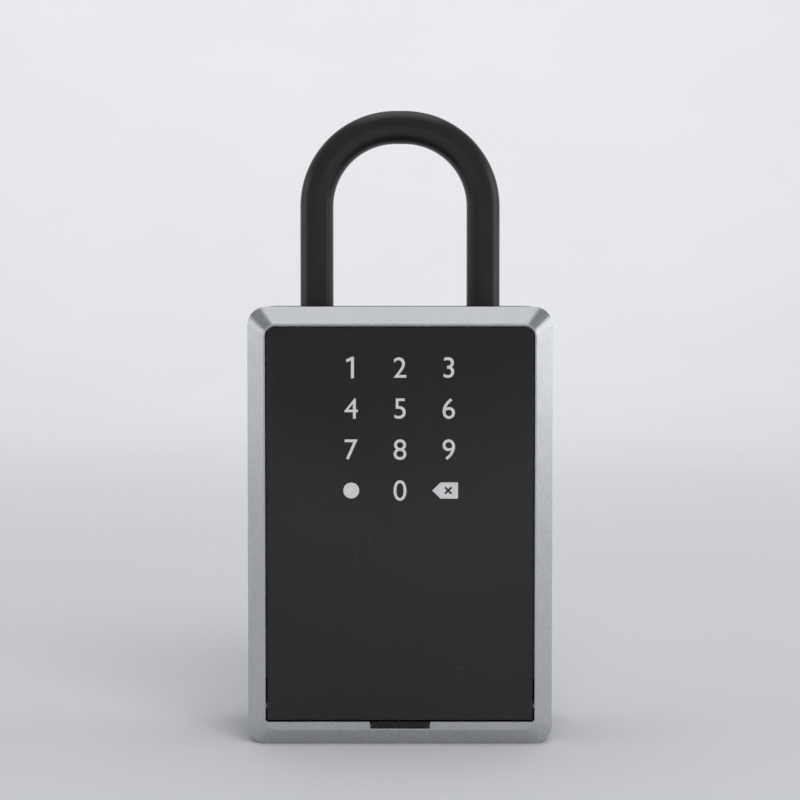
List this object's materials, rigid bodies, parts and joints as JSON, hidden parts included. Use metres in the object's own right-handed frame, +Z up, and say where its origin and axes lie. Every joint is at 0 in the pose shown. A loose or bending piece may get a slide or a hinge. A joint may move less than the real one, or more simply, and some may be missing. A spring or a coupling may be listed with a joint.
{
  "type": "keypad key safe",
  "caption": "Portable electronic key safe with a flat touch keypad on a drop-down door, a bevelled metal rim and a lift-off padlock shackle.",
  "frame": {"origin": "middle of the footprint: half the width, half the depth, on the flat underside", "axes": "+X to the right seen from the front, +Y to the back, +Z up along the shackle's legs; the keypad faces -Y"},
  "size_m": [0.083, 0.054, 0.1747],
  "materials": {
    "cast_body": "fine textured dark powder coat on a zinc casting",
    "satin_silver": "satin nickel on a zinc casting",
    "gloss_black": "smooth black acrylic with a low gloss",
    "black_plastic": "fine moulded texture",
    "vinyl": "soft black vinyl sleeve",
    "steel": "zinc plated steel",
    "rubber": "matt",
    "brass": "machined",
    "circuit_board": "green solder mask",
    "battery_wrap": "printed film over a steel can"
  },
  "bodies": {
    "housing": {"housing_shell": "cast_body", "front_rim": "satin_silver", "jump_contact_cover": "rubber", "rim_screw_1": "steel", "rim_screw_2": "steel", "rim_screw_3": "steel", "rim_screw_4": "steel", "rear_pad": "rubber", "key_lining": "rubber", "key_hook": "steel", "left_strike_plate": "steel", "right_strike_plate": "steel", "door_seal": "rubber", "left_shackle_bush": "black_plastic", "right_shackle_bush": "black_plastic", "shackle_block": "cast_body", "block_screw_1": "steel", "block_screw_2": "steel"},
    "door": {"door_carrier": "black_plastic", "touch_panel": "gloss_black", "panel_adhesive": "black_plastic", "touch_sensor_board": "circuit_board", "sensor_ribbon": "black_plastic", "left_hinge_pin": "steel", "right_hinge_pin": "steel", "door_tub": "black_plastic", "tub_screw_1": "steel", "tub_screw_2": "steel", "tub_screw_3": "steel", "tub_screw_4": "steel", "battery_holder": "black_plastic", "battery_1": "battery_wrap", "battery_2": "battery_wrap", "battery_3": "battery_wrap", "battery_4": "battery_wrap", "lower_left_contact": "brass", "lower_right_contact": "brass", "upper_left_contact": "brass", "upper_right_contact": "brass", "control_board": "circuit_board", "control_chip": "black_plastic", "buzzer": "black_plastic", "gearbox": "black_plastic", "drive_motor": "steel"},
    "left_bolt": {"left_bolt": "steel"},
    "right_bolt": {"right_bolt": "steel"},
    "pinion": {"drive_pinion": "brass"},
    "battery_cover": {"battery_cover": "black_plastic"},
    "shackle_lock": {"shackle_lock_plate": "steel", "shackle_release_knob": "black_plastic"},
    "shackle": {"shackle_bar": "steel", "shackle_sleeve": "vinyl"}
  },
  "joints": [
    {"name": "door_hinge", "type": "hinge", "parent": "housing", "child": "door", "pos_m": [0, -0.023, 0.01075], "axis": [1, 0, 0], "range_deg": [0, 90]},
    {"name": "left_bolt_slide", "type": "slide", "parent": "door", "child": "left_bolt", "axis": [-1, 0, 0], "range_m": [0, 0.0045]},
    {"name": "right_bolt_slide", "type": "slide", "parent": "door", "child": "right_bolt", "axis": [1, 0, 0], "range_m": [0, 0.0045]},
    {"name": "pinion_turn", "type": "hinge", "parent": "door", "child": "pinion", "pos_m": [0, -0.015, 0.097], "axis": [0, -1, 0], "range_deg": [0, 54]},
    {"name": "battery_cover_slide", "type": "slide", "parent": "door", "child": "battery_cover", "axis": [0, 0, 1], "range_m": [0, 0.01]},
    {"name": "shackle_lift", "type": "slide", "parent": "housing", "child": "shackle", "axis": [0, 0, 1], "range_m": [0, 0.022]},
    {"name": "shackle_lock_slide", "type": "slide", "parent": "housing", "child": "shackle_lock", "axis": [1, 0, 0], "range_m": [0, 0.005]}
  ],
  "couplings": [
    {"joint": "right_bolt_slide", "follows": "left_bolt_slide", "ratio": 1},
    {"joint": "pinion_turn", "follows": "left_bolt_slide", "rad_per_m": 208.33}
  ]
}
